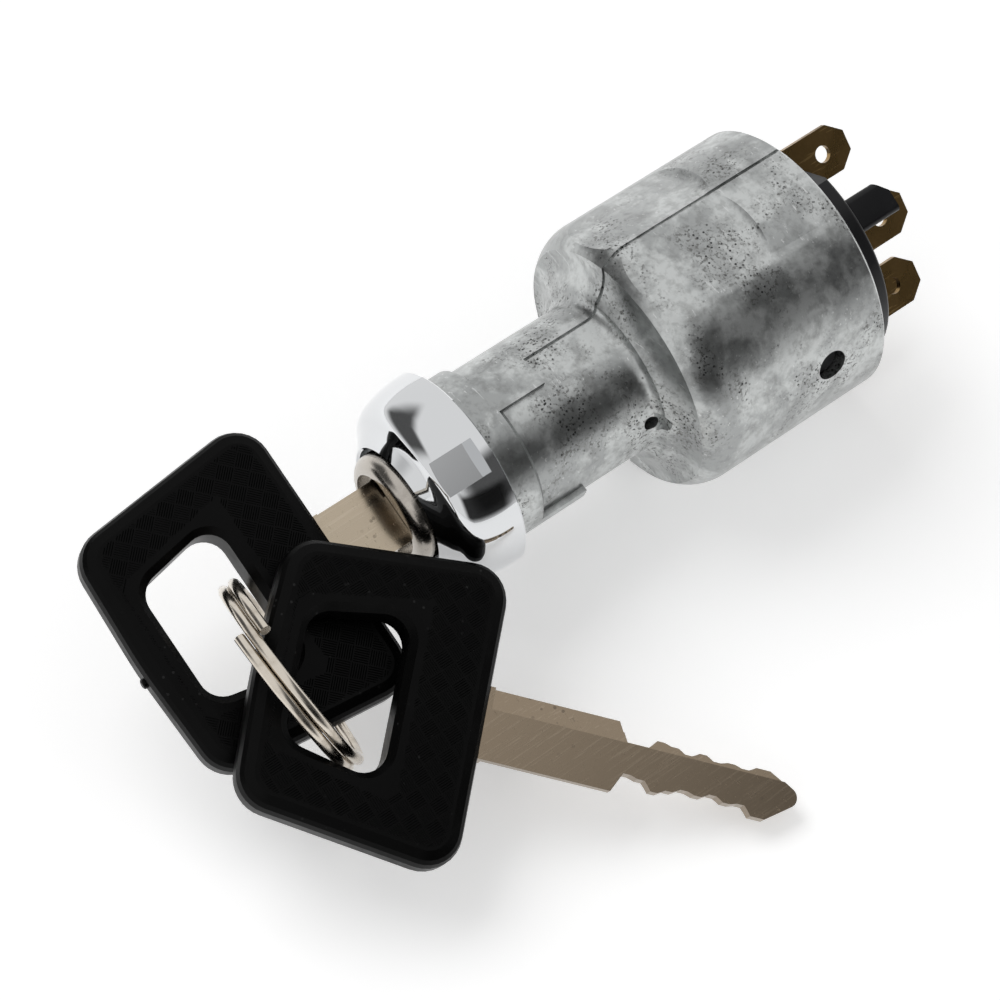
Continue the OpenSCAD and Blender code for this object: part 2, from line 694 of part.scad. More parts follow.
// A bar with round edges and one sloped corner
module post(len) {
    inner_t = post_t - 2 * post_round;
    inner_w = post_w - 2 * post_round;
    difference() {
        union() {
            translate([-inner_t / 2, -post_w / 2, 0]) cube([inner_t, post_w, len]);
            translate([-post_t / 2, -inner_w / 2, 0]) cube([post_t, inner_w, len]);
            for (x = [-1, 1]) for (y = [-1, 1]) translate([x * inner_t / 2, y * inner_w / 2, 0])
                cylinder(r = post_round, h = len);
        }
        // The corner towards the first tab slopes
        translate([0, -post_w / 2, len - post_slope_len]) rotate([90, 0, 90])
            linear_extrude(2 * post_t, center = true)
            polygon([
                [-1, 0], [0, 0], [post_slope_w, post_slope_len], [post_slope_w, post_len], [-1, post_len]
            ]);
    }
}

module contact_base() {
    back = cup_rear + base_proud;
    color("#1c1c1d") on_axis() difference() {
        union() {
            translate([0, 0, base_inner]) cylinder(r = base_r, h = cup_rear - base_inner);
            translate([0, 0, skirt_front]) difference() {
                cylinder(r = base_r, h = base_inner - skirt_front + eps);
                translate([0, 0, -1]) cylinder(r = base_r - skirt_t, h = base_inner - skirt_front + 2);
            }
            translate([0, 0, rotor_back - pivot_deep + part_gap])
                cylinder(r = pivot_r, h = base_inner - rotor_back + pivot_deep);
            radial(draw_at, cup_rear - side_hole_back) translate([0, 0, base_r - 1])
                cylinder(d = side_hole_d - 2 * base_clear, h = 1 + cup_wall * 0.4);
            // Raised back, cut away beside the first tab
            translate([0, 0, cup_rear - eps]) difference() {
                rotate_extrude() polygon(concat(
                    [[0, 0], [plateau_r, 0]],
                    arc([plateau_r - plateau_round, base_proud - plateau_round], plateau_round, 0, 90, 6),
                    [[0, base_proud]]
                ));
                at_angle(tab_at) translate([plateau_cut, -cup_r, -1]) cube([cup_r, cup_d, base_proud + 2]);
            }
            at_angle(post_at) translate([post_r, 0, back - 1]) post(post_len + 1);
        }
        for (i = [0 : len(tab_places) - 1]) tab_place(i) translate([0, 0, cup_rear])
            cube([tab_t + 2 * still_gap, tab_w + 2 * still_gap, 4 * cup_rear], center = true);
    }
}

module contact_tab(i) {
    tip = cup_rear + tab_proud;
    half = tab_w / 2;
    color("#a8824a") on_axis() {
        tab_place(i) rotate([90, 0, 90]) linear_extrude(tab_t, center = true) difference() {
            polygon([
                [-half, base_inner - eps], [half, base_inner - eps], [half, tip - tab_tip_len],
                [half - tab_tip_w, tip], [tab_tip_w - half, tip], [-half, tip - tab_tip_len]
            ]);
            translate([0, tip - tab_hole_back]) circle(d = tab_hole_d);
        }
        at_angle(tab_places[i]) translate([tab_circle_r, 0, base_inner - pad_t])
            cylinder(d = pad_d, h = pad_t - eps);
    }
}

// Half width of the blade at x along its cut part, with steps of a code of cuts
function cut_depth(code, x, pitch) =
    let (n = x / pitch, i = max(0, min(len(code) - 1, floor(n))))
    let (j = min(len(code) - 1, i + 1), f = min(1, max(0, (n - i - 0.55) / 0.45)))
    cut_step * (code[i] * (1 - f) + code[j] * f);

module blade_outline() {
    upper_code = [5, 5, 1, 2, 4, 2, 4, 3, 4, 2];
    lower_code = [5, 4, 0, 2, 4, 3, 5, 3, 4, 0];
    run = blade_len - shoulder_len - tip_len;
    steps = 40;
    pitch = run / len(upper_code);
    half = cut_w / 2;
    shoulder = shoulder_w / 2;
    polygon(concat(
        [[-blade_root, -root_w / 2], [0, -root_w / 2], [0, -shoulder], [shoulder_len - 1.2, -shoulder]],
        [for (i = [0 : steps]) [
            shoulder_len + run * i / steps,
            -half + cut_depth(lower_code, run * i / steps, pitch)
        ]],
        arc([blade_len - tip_r, 0], tip_r, -62, 62, 8),
        [for (i = [steps : -1 : 0]) [
            shoulder_len + run * i / steps,
            half - cut_depth(upper_code, run * i / steps, pitch)
        ]],
        [[shoulder_len - 1.2, shoulder], [0, shoulder], [0, root_w / 2], [-blade_root, root_w / 2]]
    ));
}

module blade_shape() {
    ledge_start = 0.6;
    difference() {
        linear_extrude(blade_t, center = true) blade_outline();
        // A reversible key: each face has its ledge along the other edge
        for (half = [0, 180]) rotate([half, 0, 0]) {
            translate([ledge_start, shoulder_w / 2 - 2 * ledge_w, blade_t / 2 - ledge_deep])
                rotate([-ledge_lean, 0, 0]) cube([blade_len, 3 * ledge_w, blade_t]);
            translate([ledge_start, shoulder_w / 2 - ledge_w, blade_t / 2 - 2 * ledge_deep])
                rotate([-ledge_lean, 0, 0]) cube([shoulder_len, 2 * ledge_w, blade_t]);
        }
    }
}

// Corners of the head, drawn in by an inset
function head_corners(inset) =
    let (slope = (head_wide - head_far) / 2 / head_len)
    let (far_x = -head_len + inset, near_x = -inset, side = inset * sqrt(1 + slope * slope))
    let (near_y = head_wide / 2 - side - slope * inset, far_y = head_far / 2 - side + slope * inset)
    [[near_x, near_y], [far_x, far_y], [far_x - head_bulge, 0], [far_x, -far_y], [near_x, -near_y]];

function head_outline(inset) =
    let (p = head_corners(inset), r = max(0.6, head_corner - inset))
    concat(
        corner(p[4], p[0], p[1], r), corner(p[0], p[1], p[2], r),
        corner(p[1], p[2], p[3], 60), corner(p[2], p[3], p[4], r), corner(p[3], p[4], p[0], r)
    );

function eye_outline(grow) =
    let (far_x = -head_len + eye_back - grow, near_x = far_x + eye_len + 2 * grow)
    let (wide = eye_wide / 2 + grow, far = eye_far / 2 + grow)
    round_outline([[near_x, wide], [far_x, far], [far_x, -far], [near_x, -wide]], eye_corner + grow);

// Head with a flat bevel round each face, as insets and depths below the face
module head_shape() {
    rim = [
        [0, head_t / 2], [0, 3 * head_bevel], [0.15 * head_edge, 1.5 * head_bevel],
        [0.4 * head_edge, 0.7 * head_bevel], [head_edge, 0]
    ];
    difference() {
        hull() for (step = rim) for (side = [-1, 1])
            translate([0, 0, side * (head_t / 2 - step[1]) - eps / 2])
                linear_extrude(eps) polygon(head_outline(step[0]));
        linear_extrude(head_t + 2, center = true) polygon(eye_outline(0));
        for (side = [0, 180]) rotate([side, 0, 0]) hull() {
            translate([0, 0, head_t / 2]) linear_extrude(1) polygon(eye_outline(eye_edge));
            translate([0, 0, head_t / 2 - eye_edge]) linear_extrude(eps) polygon(eye_outline(0));
        }
        translate([-blade_root, -root_w / 2, -blade_t / 2]) cube([blade_root + 1, root_w, blade_t]);
    }
}

module key_blade() {
    color("#b9ae9a") key_place() blade_shape();
}

module key_head() {
    color("#19191a") key_place() head_shape();
}

module spare_blade() {
    color("#b9ae9a") spare_place() blade_shape();
}

module spare_head() {
    color("#19191a") spare_place() head_shape();
}

// Two turns of wire, each beside the last, with the ends lapped
module split_ring() {
    pitch = ring_wire + ring_gap;
    count = 64;
    reach = 360 + ring_lap / 2;
    path = [for (i = [0 : count]) let (a = reach * (2 * i / count - 1)) [
        ring_d / 2 * cos(a), ring_d / 2 * sin(a), pitch * a / 360
    ]];
    z = cross(ring_x, ring_y);
    color("#a79f90") multmatrix([for (k = [0 : 2]) [ring_x[k], ring_y[k], z[k], ring_at[k]]])
        rotate([0, 0, ring_ends_at]) tube(path, ring_wire / 2, [0, 0, 1], 10);
}

housing();
bezel_nut();
contact_base();
contact_tab(0);  // supply_tab
contact_tab(1);  // ignition_tab
contact_tab(2);  // starter_tab
contact_tab(3);  // accessory_tab
lock_plug();
wafer(0);  // wafer_1
wafer(1);  // wafer_2
wafer(2);  // wafer_3
wafer(3);  // wafer_4
wafer(4);  // wafer_5
wafer(5);  // wafer_6
wafer_springs();
plug_latch();
latch_spring();
rotor();
contact_bridge();
contact_springs();
detent_ball();
detent_spring();
return_spring();
key_blade();
key_head();
split_ring();
spare_blade();
spare_head();
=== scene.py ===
import json
import math
import random
import bpy
from mathutils import Euler, Matrix, Vector


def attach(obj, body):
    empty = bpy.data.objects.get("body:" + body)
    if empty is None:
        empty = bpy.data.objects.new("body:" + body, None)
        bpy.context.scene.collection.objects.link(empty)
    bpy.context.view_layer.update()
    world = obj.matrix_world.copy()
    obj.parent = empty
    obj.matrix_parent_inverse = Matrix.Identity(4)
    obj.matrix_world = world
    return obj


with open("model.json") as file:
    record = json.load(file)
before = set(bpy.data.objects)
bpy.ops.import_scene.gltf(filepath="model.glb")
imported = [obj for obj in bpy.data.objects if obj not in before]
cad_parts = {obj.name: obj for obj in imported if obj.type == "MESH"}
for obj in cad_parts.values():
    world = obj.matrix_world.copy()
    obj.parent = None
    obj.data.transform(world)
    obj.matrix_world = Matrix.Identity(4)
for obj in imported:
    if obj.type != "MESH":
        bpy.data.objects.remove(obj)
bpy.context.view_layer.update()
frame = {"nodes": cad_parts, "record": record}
cadNodes = frame["nodes"]
scene = bpy.context.scene
random.seed(11)
mm = 0.001
print("frame loaded:", len(cadNodes), "nodes")


# small helpers for meshes and shader graphs

def addMesh(name, verts, faces, material, body):
    mesh = bpy.data.meshes.new(name)
    mesh.from_pydata([tuple(v) for v in verts], [], faces)
    mesh.validate()
    mesh.update()
    mesh.materials.append(material)
    piece = bpy.data.objects.new(name, mesh)
    scene.collection.objects.link(piece)
    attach(piece, body)


def newGroup(name, inputs, outputs):
    group = bpy.data.node_groups.new(name, "ShaderNodeTree")
    for socketName, kind, value in inputs:
        socket = group.interface.new_socket(name=socketName, in_out="INPUT", socket_type=kind)
        socket.default_value = value
    for socketName, kind in outputs:
        group.interface.new_socket(name=socketName, in_out="OUTPUT", socket_type=kind)
    return group, group.nodes.new("NodeGroupInput"), group.nodes.new("NodeGroupOutput")


def makeNode(tree, kind, **settings):
    node = tree.nodes.new(kind)
    for key, value in settings.items():
        if key in node.inputs:
            node.inputs[key].default_value = value
        else:
            setattr(node, key, value)
    return node


# a socket takes either another socket or a plain value
def feed(tree, socket, value):
    if hasattr(value, "is_linked"):
        tree.links.new(value, socket)
    else:
        socket.default_value = value


def ramp(tree, source, low, high):
    step = tree.nodes.new("ShaderNodeMapRange")
    step.interpolation_type = "SMOOTHSTEP"
    feed(tree, step.inputs["From Min"], low)
    feed(tree, step.inputs["From Max"], high)
    tree.links.new(source, step.inputs["Value"])
    return step.outputs["Result"]


def mathNode(tree, operation, a, b):
    node = tree.nodes.new("ShaderNodeMath")
    node.operation = operation
    for socket, value in zip(node.inputs, (a, b)):
        feed(tree, socket, value)
    return node.outputs[0]


def noiseMask(tree, where, scale, **settings):
    noise = makeNode(tree, "ShaderNodeTexNoise", **settings)
    tree.links.new(where, noise.inputs["Vector"])
    tree.links.new(scale, noise.inputs["Scale"])
    return noise.outputs["Fac"]


def objectPlace(tree):
    return tree.nodes.new("ShaderNodeTexCoord").outputs["Object"]


# blotches where the metal cooled at different times
cloudsNoise = {"Detail": 9.0, "Roughness": 0.6, "Distortion": 0.2}


def cloudsGroup():
    group, given, result = newGroup(
        "cooledClouds",
        [
            ("Scale", "NodeSocketFloat", 90.0),
            ("Low", "NodeSocketFloat", 0.42),
            ("High", "NodeSocketFloat", 0.62),
        ],
        [("Mask", "NodeSocketFloat")],
    )
    clouds = noiseMask(group, objectPlace(group), given.outputs["Scale"], **cloudsNoise)
    mask = ramp(group, clouds, given.outputs["Low"], given.outputs["High"])
    group.links.new(mask, result.inputs["Mask"])
    return group


# small dark pits and specks, bunched by a larger noise
specksBunch = {"detail": 3.0, "low": 0.5, "high": 0.64}


def specksGroup():
    group, given, result = newGroup(
        "pitSpecks",
        [
            ("Scale", "NodeSocketFloat", 700.0),
            ("Size", "NodeSocketFloat", 0.2),
            ("Bunch", "NodeSocketFloat", 120.0),
        ],
        [("Mask", "NodeSocketFloat")],
    )
    where = objectPlace(group)
    cells = makeNode(group, "ShaderNodeTexVoronoi", Randomness=1.0)
    group.links.new(where, cells.inputs["Vector"])
    group.links.new(given.outputs["Scale"], cells.inputs["Scale"])
    dot = mathNode(group, "LESS_THAN", cells.outputs["Distance"], given.outputs["Size"])
    bunch = noiseMask(group, where, given.outputs["Bunch"], Detail=specksBunch["detail"])
    bunch = ramp(group, bunch, specksBunch["low"], specksBunch["high"])
    group.links.new(mathNode(group, "MULTIPLY", dot, bunch), result.inputs["Mask"])
    return group


# hairline scratches along a direction that the material turns
scratchNoise = {"Detail": 3.0, "Roughness": 0.7}
scratchFade = 0.05


def scratchesGroup():
    group, given, result = newGroup(
        "hairScratches",
        [
            ("Turn", "NodeSocketVector", (0, 0, 0)),
            ("Stretch", "NodeSocketVector", (1, 30, 30)),
            ("Scale", "NodeSocketFloat", 60.0),
            ("Edge", "NodeSocketFloat", 0.66),
        ],
        [("Mask", "NodeSocketFloat")],
    )
    turn = group.nodes.new("ShaderNodeMapping")
    group.links.new(objectPlace(group), turn.inputs["Vector"])
    group.links.new(given.outputs["Turn"], turn.inputs["Rotation"])
    group.links.new(given.outputs["Stretch"], turn.inputs["Scale"])
    lines = noiseMask(group, turn.outputs["Vector"], given.outputs["Scale"], **scratchNoise)
    over = mathNode(group, "SUBTRACT", lines, given.outputs["Edge"])
    group.links.new(ramp(group, over, 0.0, scratchFade), result.inputs["Mask"])
    return group


# fine grain as a height
grainNoise = {"Detail": 4.0, "Roughness": 0.6}


def grainGroup():
    group, given, result = newGroup(
        "fineGrain",
        [("Scale", "NodeSocketFloat", 2500.0)],
        [("Height", "NodeSocketFloat")],
    )
    grain = noiseMask(group, objectPlace(group), given.outputs["Scale"], **grainNoise)
    group.links.new(grain, result.inputs["Height"])
    return group


effects = {
    "clouds": cloudsGroup(),
    "specks": specksGroup(),
    "scratches": scratchesGroup(),
    "grain": grainGroup(),
}
print("effects made:", len(effects))


# every finish links its own roughness, so only the plain values are set here
def newMaterial(name, look):
    material = bpy.data.materials.new(name)
    material.use_nodes = True
    shader = material.node_tree.nodes["Principled BSDF"]
    shader.inputs["Base Color"].default_value = (*look["color"], 1)
    shader.inputs["Metallic"].default_value = look["metallic"]
    if "specular" in look:
        shader.inputs["Specular IOR Level"].default_value = look["specular"]
    return material, material.node_tree, shader


def placeEffect(tree, kind, values):
    node = tree.nodes.new("ShaderNodeGroup")
    node.node_tree = effects[kind]
    for key, value in values.items():
        node.inputs[key].default_value = value
    return node.outputs[0]


def tint(tree, base, color, mask, share=1.0):
    mix = tree.nodes.new("ShaderNodeMix")
    mix.data_type = "RGBA"
    tree.links.new(mathNode(tree, "MULTIPLY", mask, share), mix.inputs["Factor"])
    if hasattr(base, "is_linked"):
        tree.links.new(base, mix.inputs["A"])
    else:
        mix.inputs["A"].default_value = (*base, 1)
    mix.inputs["B"].default_value = (*color, 1)
    return mix.outputs["Result"]


def level(tree, mask, span):
    node = tree.nodes.new("ShaderNodeMapRange")
    node.inputs["To Min"].default_value, node.inputs["To Max"].default_value = span
    tree.links.new(mask, node.inputs["Value"])
    return node.outputs["Result"]


def bump(tree, shader, height, plan):
    node = tree.nodes.new("ShaderNodeBump")
    node.inputs["Strength"].default_value = plan["strength"]
    node.inputs["Distance"].default_value = plan["depth"] * mm
    tree.links.new(height, node.inputs["Height"])
    tree.links.new(node.outputs["Normal"], shader.inputs["Normal"])


# die-cast zinc: cloudy light patches, dark specks and handling marks
zincLook = {
    "color": (0.335, 0.345, 0.343), "metallic": 1.0,
    "pale": (0.53, 0.545, 0.54), "dull": (0.13, 0.13, 0.125),
    "speck": (0.05, 0.05, 0.05), "mark": (0.66, 0.67, 0.67),
    "patches": {"Scale": 150.0, "Low": 0.44, "High": 0.60},
    "stains": {"Scale": 260.0, "Low": 0.53, "High": 0.70},
    "mottle": {"Scale": 900.0, "Low": 0.46, "High": 0.66},
    "grit": {"Scale": 2300.0, "Low": 0.50, "High": 0.64},
    "gritArea": {"Scale": 120.0, "Low": 0.47, "High": 0.60},
    "specks": {"Scale": 1500.0, "Size": 0.22},
    "marks": {"Turn": (0.4, 0.2, 0.9), "Stretch": (2, 26, 26), "Scale": 70.0, "Edge": 0.64},
    "grain": {"Scale": 900.0},
    "mottleShare": 0.28, "stainShare": 0.35, "gritShare": 0.9, "markShare": 0.6,
    "rough": (0.31, 0.38), "bump": {"depth": 0.06, "strength": 0.5},
}


def zincMaterial():
    look = zincLook
    material, tree, shader = newMaterial("zincCasting", look)
    patches = placeEffect(tree, "clouds", look["patches"])
    stains = placeEffect(tree, "clouds", look["stains"])
    mottle = placeEffect(tree, "clouds", look["mottle"])
    grit = placeEffect(tree, "clouds", look["grit"])
    gritArea = placeEffect(tree, "clouds", look["gritArea"])
    specks = placeEffect(tree, "specks", look["specks"])
    marks = placeEffect(tree, "scratches", look["marks"])
    color = tint(tree, look["color"], look["pale"], patches)
    color = tint(tree, color, look["dull"], mottle, look["mottleShare"])
    color = tint(tree, color, look["dull"], stains, look["stainShare"])
    gritty = mathNode(tree, "MULTIPLY", grit, gritArea)
    color = tint(tree, color, look["dull"], gritty, look["gritShare"])
    color = tint(tree, color, look["mark"], marks, look["markShare"])
    color = tint(tree, color, look["speck"], specks)
    tree.links.new(color, shader.inputs["Base Color"])
    tree.links.new(level(tree, patches, look["rough"]), shader.inputs["Roughness"])
    grain = placeEffect(tree, "grain", look["grain"])
    bump(tree, shader, mathNode(tree, "SUBTRACT", grain, specks), look["bump"])
    return material


# bright chrome plate
chromeLook = {
    "color": (0.62, 0.63, 0.64), "metallic": 1.0, "rough": (0.035, 0.16),
    "marks": {"Turn": (0, 0, 0.5), "Stretch": (3, 40, 40), "Scale": 80.0, "Edge": 0.68},
}


def chromeMaterial():
    material, tree, shader = newMaterial("chromePlate", chromeLook)
    marks = placeEffect(tree, "scratches", chromeLook["marks"])
    tree.links.new(level(tree, marks, chromeLook["rough"]), shader.inputs["Roughness"])
    return material


# satin nickel of the lock plug
nickelLook = {
    "color": (0.46, 0.43, 0.39), "metallic": 1.0, "dull": (0.30, 0.27, 0.24),
    "patches": {"Scale": 160.0, "Low": 0.45, "High": 0.7},
    "marks": {"Turn": (0, 0, 0), "Stretch": (30, 2, 30), "Scale": 90.0, "Edge": 0.6},
    "grain": {"Scale": 3000.0},
    "rough": (0.22, 0.36), "bump": {"depth": 0.02, "strength": 0.4},
}


def nickelMaterial():
    look = nickelLook
    material, tree, shader = newMaterial("satinNickel", look)
    patches = placeEffect(tree, "clouds", look["patches"])
    marks = placeEffect(tree, "scratches", look["marks"])
    color = tint(tree, look["color"], look["dull"], patches)
    tree.links.new(color, shader.inputs["Base Color"])
    tree.links.new(level(tree, marks, look["rough"]), shader.inputs["Roughness"])
    bump(tree, shader, placeEffect(tree, "grain", look["grain"]), look["bump"])
    return material


# key blades: warm nickel silver with milling lines across the blade, marks and grime; the spare blade
# is the same metal, with its colour painted darker as painted shade for its dimmer reflection
bladeLooksWithPaintedShade = {
    "key_blade": {"color": (0.42, 0.355, 0.27), "wear": (0.52, 0.45, 0.36), "turn": 0},
    # painted shade: the spare blade's colour and wear colour are darker copies of the key blade's
    # metal, standing in for the dimmer reflection it gets
    "spare_blade": {"color": (0.265, 0.21, 0.152), "wear": (0.40, 0.33, 0.25), "turn": -44},
}
bladeFinish = {
    "metallic": 1.0, "grimeColor": (0.13, 0.105, 0.08), "wearShare": 0.3, "grimeShare": 0.7,
    "milled": {"Stretch": (60, 1, 60), "Scale": 75.0, "Edge": 0.55},
    "marks": {"Stretch": (2, 40, 40), "Scale": 60.0, "Edge": 0.64}, "marksTurn": 0.9,
    "grime": {"Scale": 900.0, "Size": 0.2, "Bunch": 150.0},
    "rough": (0.20, 0.40), "bump": {"depth": 0.01, "strength": 0.12},
}


def bladeMaterial(name):
    look = {**bladeFinish, **bladeLooksWithPaintedShade[name]}
    turn = math.radians(look["turn"])
    material, tree, shader = newMaterial(name, look)
    milled = placeEffect(tree, "scratches", {**look["milled"], "Turn": (0, 0, turn)})
    marks = placeEffect(tree, "scratches", {**look["marks"], "Turn": (0, 0, turn + look["marksTurn"])})
    grime = placeEffect(tree, "specks", look["grime"])
    color = tint(tree, look["color"], look["wear"], milled, look["wearShare"])
    color = tint(tree, color, look["grimeColor"], grime, look["grimeShare"])
    tree.links.new(color, shader.inputs["Base Color"])
    tree.links.new(level(tree, marks, look["rough"]), shader.inputs["Roughness"])
    bump(tree, shader, milled, look["bump"])
    return material


# dull brass of the tabs, the wafers, the latch and the contact bridge
brassLook = {
    "color": (0.26, 0.165, 0.062), "metallic": 1.0,
    "tarnishColor": (0.12, 0.075, 0.03), "bright": (0.56, 0.38, 0.16),
    "tarnish": {"Scale": 190.0, "Low": 0.40, "High": 0.66},
    "marks": {"Turn": (0, 0, 0.3), "Stretch": (26, 2, 26), "Scale": 80.0, "Edge": 0.6},
    "tarnishShare": 0.75, "brightShare": 0.4, "rough": (0.26, 0.44),
}


def brassMaterial():
    look = brassLook
    material, tree, shader = newMaterial("dullBrass", look)
    tarnish = placeEffect(tree, "clouds", look["tarnish"])
    marks = placeEffect(tree, "scratches", look["marks"])
    color = tint(tree, look["color"], look["tarnishColor"], tarnish, look["tarnishShare"])
    color = tint(tree, color, look["bright"], marks, look["brightShare"])
    tree.links.new(color, shader.inputs["Base Color"])
    tree.links.new(level(tree, tarnish, look["rough"]), shader.inputs["Roughness"])
    return material


# mouldings: black contact base, black key heads, pale rotor
mouldLooks = {
    "blackMoulding": {
        "color": (0.008, 0.008, 0.009), "dustColor": (0.05, 0.05, 0.05),
        "specular": 0.22, "rough": (0.28, 0.44),
    },
    "headPlastic": {
        "color": (0.0015, 0.0015, 0.0015), "dustColor": (0.03, 0.03, 0.03),
        "specular": 0.07, "rough": (0.30, 0.46),
    },
    "paleMoulding": {
        "color": (0.74, 0.70, 0.60), "dustColor": (0.5, 0.46, 0.38),
        "specular": 0.4, "rough": (0.44, 0.60),
    },
}
mouldFinish = {
    "metallic": 0.0, "dustShare": 0.6,
    "dust": {"Scale": 620.0, "Size": 0.10, "Bunch": 90.0},
    "rub": {"Scale": 130.0, "Low": 0.40, "High": 0.72},
    "grain": {"Scale": 4200.0}, "bump": {"depth": 0.02, "strength": 0.3},
}


def mouldMaterial(name):
    look = {**mouldFinish, **mouldLooks[name]}
    material, tree, shader = newMaterial(name, look)
    dust = placeEffect(tree, "specks", look["dust"])
    rub = placeEffect(tree, "clouds", look["rub"])
    color = tint(tree, look["color"], look["dustColor"], dust, look["dustShare"])
    tree.links.new(color, shader.inputs["Base Color"])
    tree.links.new(level(tree, rub, look["rough"]), shader.inputs["Roughness"])
    bump(tree, shader, placeEffect(tree, "grain", look["grain"]), look["bump"])
    return material


# drawn wire of the split ring and the springs
wireLook = {
    "color": (0.60, 0.55, 0.48), "metallic": 1.0, "wornColor": (0.36, 0.31, 0.25),
    "worn": {"Scale": 240.0, "Low": 0.45, "High": 0.7}, "wornShare": 0.6, "rough": (0.16, 0.34),
}


def wireMaterial():
    look = wireLook
    material, tree, shader = newMaterial("drawnWire", look)
    worn = placeEffect(tree, "clouds", look["worn"])
    color = tint(tree, look["color"], look["wornColor"], worn, look["wornShare"])
    tree.links.new(color, shader.inputs["Base Color"])
    tree.links.new(level(tree, worn, look["rough"]), shader.inputs["Roughness"])
    return material


finishes = {
    "zinc": zincMaterial(),
    "chrome": chromeMaterial(),
    "nickel": nickelMaterial(),
    "brass": brassMaterial(),
    "black_moulding": mouldMaterial("blackMoulding"),
    "black_head": mouldMaterial("headPlastic"),
    "pale_moulding": mouldMaterial("paleMoulding"),
    "spring_steel": wireMaterial(),
}
bladeFinishes = {name: bladeMaterial(name) for name in bladeLooksWithPaintedShade}

for entry in frame["record"]["subparts"]:
    piece = cadNodes[entry["node"]]
    piece.data.materials.clear()
    piece.data.materials.append(bladeFinishes.get(entry["node"], finishes[entry["material_slot"]]))
print("finishes set on the nodes")


# round faces read smooth, and edges sharper than this stay crisp
softEdges = {"angle": 24, "join": 0.002}
crispNodes = {
    "key_blade": 14, "spare_blade": 14,
    "key_head": 13, "spare_head": 13,
    "split_ring": 60, "return_spring": 60,
}


def softenGroup():
    group = bpy.data.node_groups.new("softenFacets", "GeometryNodeTree")
    group.interface.new_socket(name="Geometry", in_out="INPUT", socket_type="NodeSocketGeometry")
    limit = group.interface.new_socket(name="Angle", in_out="INPUT", socket_type="NodeSocketFloat")
    limit.default_value = math.radians(softEdges["angle"])
    group.interface.new_socket(name="Geometry", in_out="OUTPUT", socket_type="NodeSocketGeometry")
    given = group.nodes.new("NodeGroupInput")
    result = group.nodes.new("NodeGroupOutput")
    join = makeNode(group, "GeometryNodeMergeByDistance", Distance=softEdges["join"] * mm)
    drop = makeNode(group, "GeometryNodeRemoveAttribute", Name="custom_normal")
    faces = makeNode(group, "GeometryNodeSetShadeSmooth", domain="FACE")
    edges = makeNode(group, "GeometryNodeSetShadeSmooth", domain="EDGE")
    bend = group.nodes.new("GeometryNodeInputMeshEdgeAngle")
    under = makeNode(group, "FunctionNodeCompare", operation="LESS_THAN")
    steps = [given, join, drop, faces, edges, result]
    for earlier, later in zip(steps, steps[1:]):
        group.links.new(earlier.outputs["Geometry"], later.inputs["Geometry"])
    group.links.new(bend.outputs["Unsigned Angle"], under.inputs[0])
    group.links.new(given.outputs["Angle"], under.inputs[1])
    group.links.new(under.outputs["Result"], edges.inputs["Shade Smooth"])
    return group, limit.identifier


softTree, angleInput = softenGroup()
for nodeName, piece in cadNodes.items():
    soften = piece.modifiers.new("soften", "NODES")
    soften.node_group = softTree
    soften[angleInput] = math.radians(crispNodes.get(nodeName, softEdges["angle"]))
print("edges softened")


# hatch on the faces of both heads: squares of ridges that lie crosswise from one square to the next
headPlan = {
    "wide": 38.2, "far": 32.1, "length": 27.2, "thick": 5.6, "border": 2.1, "corner": 4.5,
    "eyeWide": 20.4, "eyeFar": 15.6, "eyeLength": 12.2, "eyeBack": 4.3, "eyeBorder": 1.7,
    "cell": 2.0, "cellFill": 0.94, "weaveTurn": 45,
    "ridges": 7, "ridgeWidth": 0.18, "ridgeHeight": 0.08, "ridgeSink": 0.03, "ridgeSteps": 8,
}
headPlaces = {
    "key": {"at": (0, -19.1, 0), "turn": (0, 22, 0), "roll": 90},
    "spare": {"at": (27.6, -17.7, -4.8), "turn": (14.6, 16.7, 46), "roll": 0},
}
ridgeFaces = ((0, 1, 5, 4), (2, 3, 4, 5), (1, 2, 5), (3, 0, 4), (3, 2, 1, 0))


def headMatrix(place):
    turn = Euler([math.radians(a) for a in place["turn"]], "XYZ").to_matrix().to_4x4()
    roll = Matrix.Rotation(math.radians(place["roll"]), 4, "Z")
    return Matrix.Translation([v * mm for v in place["at"]]) @ turn @ roll


# true inside the rounded border of a face and clear of its eye
def insideFace(x, y):
    plan = headPlan
    slope = (plan["wide"] - plan["far"]) / 2 / plan["length"]
    side = plan["wide"] / 2 + slope * x - abs(y)
    end = min(-x, x + plan["length"])
    outer = min(end, side)
    if end < plan["corner"] and side < plan["corner"]:
        reach = math.hypot(plan["corner"] - end, plan["corner"] - side)
        outer = min(outer, plan["corner"] - reach)
    fromEye = x + plan["length"] - plan["eyeBack"]
    eyeSlope = (plan["eyeWide"] - plan["eyeFar"]) / 2 / plan["eyeLength"]
    eyeSide = abs(y) - plan["eyeFar"] / 2 - eyeSlope * fromEye
    eye = max(-fromEye, fromEye - plan["eyeLength"], eyeSide)
    return outer > plan["border"] and eye > plan["eyeBorder"]


def addRidge(verts, faces, start, end, height):
    along = (end - start).normalized()
    across = Vector((-along.y, along.x)) * headPlan["ridgeWidth"] / 2
    inset = along * headPlan["ridgeWidth"] / 2
    base = len(verts)
    low = height - headPlan["ridgeSink"]
    high = height + headPlan["ridgeHeight"]
    for point, z in (
        (start - across, low), (end - across, low), (end + across, low), (start + across, low),
        (start + inset, high), (end - inset, high),
    ):
        verts.append(Vector((point.x * mm, point.y * mm, z * mm)))
    for face in ridgeFaces:
        faces.append([base + i for i in face])


